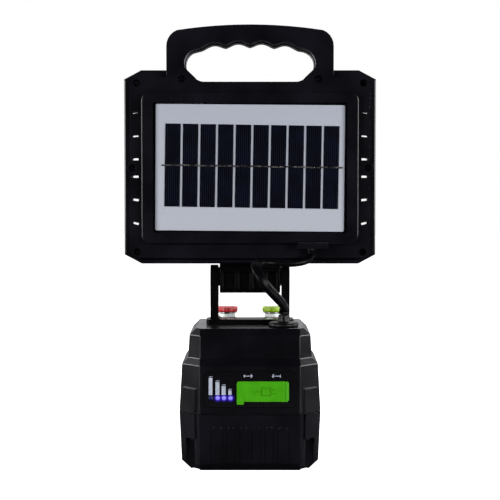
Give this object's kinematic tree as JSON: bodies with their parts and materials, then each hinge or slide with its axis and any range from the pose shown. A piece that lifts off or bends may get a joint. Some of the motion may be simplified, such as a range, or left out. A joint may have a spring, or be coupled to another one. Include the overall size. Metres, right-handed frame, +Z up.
{
  "type": "fence energizer",
  "caption": "Portable fence energizer: battery base with screw terminals and covered ports, and a tilting head with solar panel, lamp and finger grip.",
  "frame": {"origin": "the middle of the footprint, on the ground", "axes": "+Z up; -Y towards the side with the solar panel, the port cover and the charge lights; +X to the right of a person who faces that side"},
  "size_m": [0.2004, 0.1222, 0.3514],
  "materials": {
    "gloss_black_abs": "gloss",
    "black_abs": "satin",
    "black_nylon": "satin",
    "black_rubber": "matte",
    "cable_pvc": "satin",
    "green_tpe": "satin",
    "label_film": "gloss",
    "led_epoxy": "gloss",
    "red_abs": "gloss",
    "green_abs": "gloss",
    "natural_nylon": "satin",
    "stainless_steel": "satin",
    "black_zinc_screw": "satin",
    "nickel_plate": "satin",
    "circuit_board": "satin",
    "white_circuit_board": "satin",
    "battery_wrap": "gloss",
    "ferrite": "matte",
    "enamelled_copper": "gloss",
    "film_capacitor": "satin",
    "white_backsheet": "satin",
    "silicon_cells": "gloss",
    "clear_sheet": "gloss",
    "vacuum_silver": "gloss",
    "extruded_aluminium": "satin"
  },
  "bodies": {
    "base": {"upper_shell": "gloss_black_abs", "lower_shell": "black_abs", "case_seal": "black_rubber", "label_plate": "label_film", "usb_out_socket": "nickel_plate", "usb_in_socket": "nickel_plate", "charge_led_1": "led_epoxy", "charge_led_2": "led_epoxy", "charge_led_3": "led_epoxy", "charge_led_4": "led_epoxy", "yoke_bracket": "black_nylon", "yoke_screw_1": "stainless_steel", "yoke_screw_2": "stainless_steel", "fence_stud": "stainless_steel", "earth_stud": "stainless_steel", "fence_collar": "natural_nylon", "earth_collar": "natural_nylon", "control_board": "circuit_board", "battery_cell_1": "battery_wrap", "battery_cell_2": "battery_wrap", "transformer_core": "ferrite", "transformer_coil": "enamelled_copper", "pulse_capacitor": "film_capacitor", "case_screw_1": "black_zinc_screw", "case_screw_2": "black_zinc_screw", "case_screw_3": "black_zinc_screw", "case_screw_4": "black_zinc_screw", "cable_grommet": "black_rubber", "button_switch": "black_nylon", "pivot_bolt": "stainless_steel", "pivot_nut": "stainless_steel", "lead_cable": "cable_pvc"},
    "head": {"head_rear_cover": "black_abs", "head_front_shell": "black_abs", "hinge_block": "black_nylon", "friction_washer_left": "black_rubber", "friction_washer_right": "black_rubber", "solar_backing": "white_backsheet", "solar_cell_string": "silicon_cells", "solar_cover_sheet": "clear_sheet", "panel_seal": "black_rubber", "lamp_lens": "clear_sheet", "lamp_reflector": "vacuum_silver", "led_board": "white_circuit_board", "heat_plate": "extruded_aluminium", "cable_gland": "black_rubber", "head_screw_1": "black_zinc_screw", "head_screw_2": "black_zinc_screw", "head_screw_3": "black_zinc_screw", "head_screw_4": "black_zinc_screw", "head_screw_5": "black_zinc_screw", "head_screw_6": "black_zinc_screw", "head_screw_7": "black_zinc_screw", "head_screw_8": "black_zinc_screw"},
    "port_flap": {"port_cover": "green_tpe"},
    "button": {"power_button": "black_rubber"},
    "fence_clamp": {"fence_washer": "stainless_steel"},
    "fence_turner": {"fence_knob": "red_abs"},
    "earth_clamp": {"earth_washer": "stainless_steel"},
    "earth_turner": {"earth_knob": "green_abs"}
  },
  "joints": [
    {"name": "head_tilt", "type": "hinge", "parent": "base", "child": "head", "pos_m": [0, 0, 0.1505], "axis": [1, 0, 0], "range_deg": [-90, 45], "deforming": ["lead_cable"]},
    {"name": "port_flap_hinge", "type": "hinge", "parent": "base", "child": "port_flap", "pos_m": [0.0289, -0.05249, 0.06399], "axis": [0, 0.0559, 0.9984], "range_deg": [0, 110]},
    {"name": "button_press", "type": "slide", "parent": "base", "child": "button", "axis": [0, -1, 0], "range_m": [0, 0.0011], "stiffness_N_per_m": 900, "springref_m": -0.001},
    {"name": "fence_clamp_slide", "type": "slide", "parent": "base", "child": "fence_clamp", "axis": [0, 0, 1], "range_m": [0, 0.0024]},
    {"name": "fence_knob_turn", "type": "hinge", "parent": "fence_clamp", "child": "fence_turner", "pos_m": [-0.019, 0.029, 0.12], "axis": [0, 0, 1], "range_deg": [0, 1080]},
    {"name": "earth_clamp_slide", "type": "slide", "parent": "base", "child": "earth_clamp", "axis": [0, 0, 1], "range_m": [0, 0.0024]},
    {"name": "earth_knob_turn", "type": "hinge", "parent": "earth_clamp", "child": "earth_turner", "pos_m": [0.019, 0.029, 0.12], "axis": [0, 0, 1], "range_deg": [0, 1080]}
  ],
  "couplings": [
    {"joint": "fence_knob_turn", "follows": "fence_clamp_slide", "rad_per_m": 7854},
    {"joint": "earth_knob_turn", "follows": "earth_clamp_slide", "rad_per_m": 7854}
  ]
}
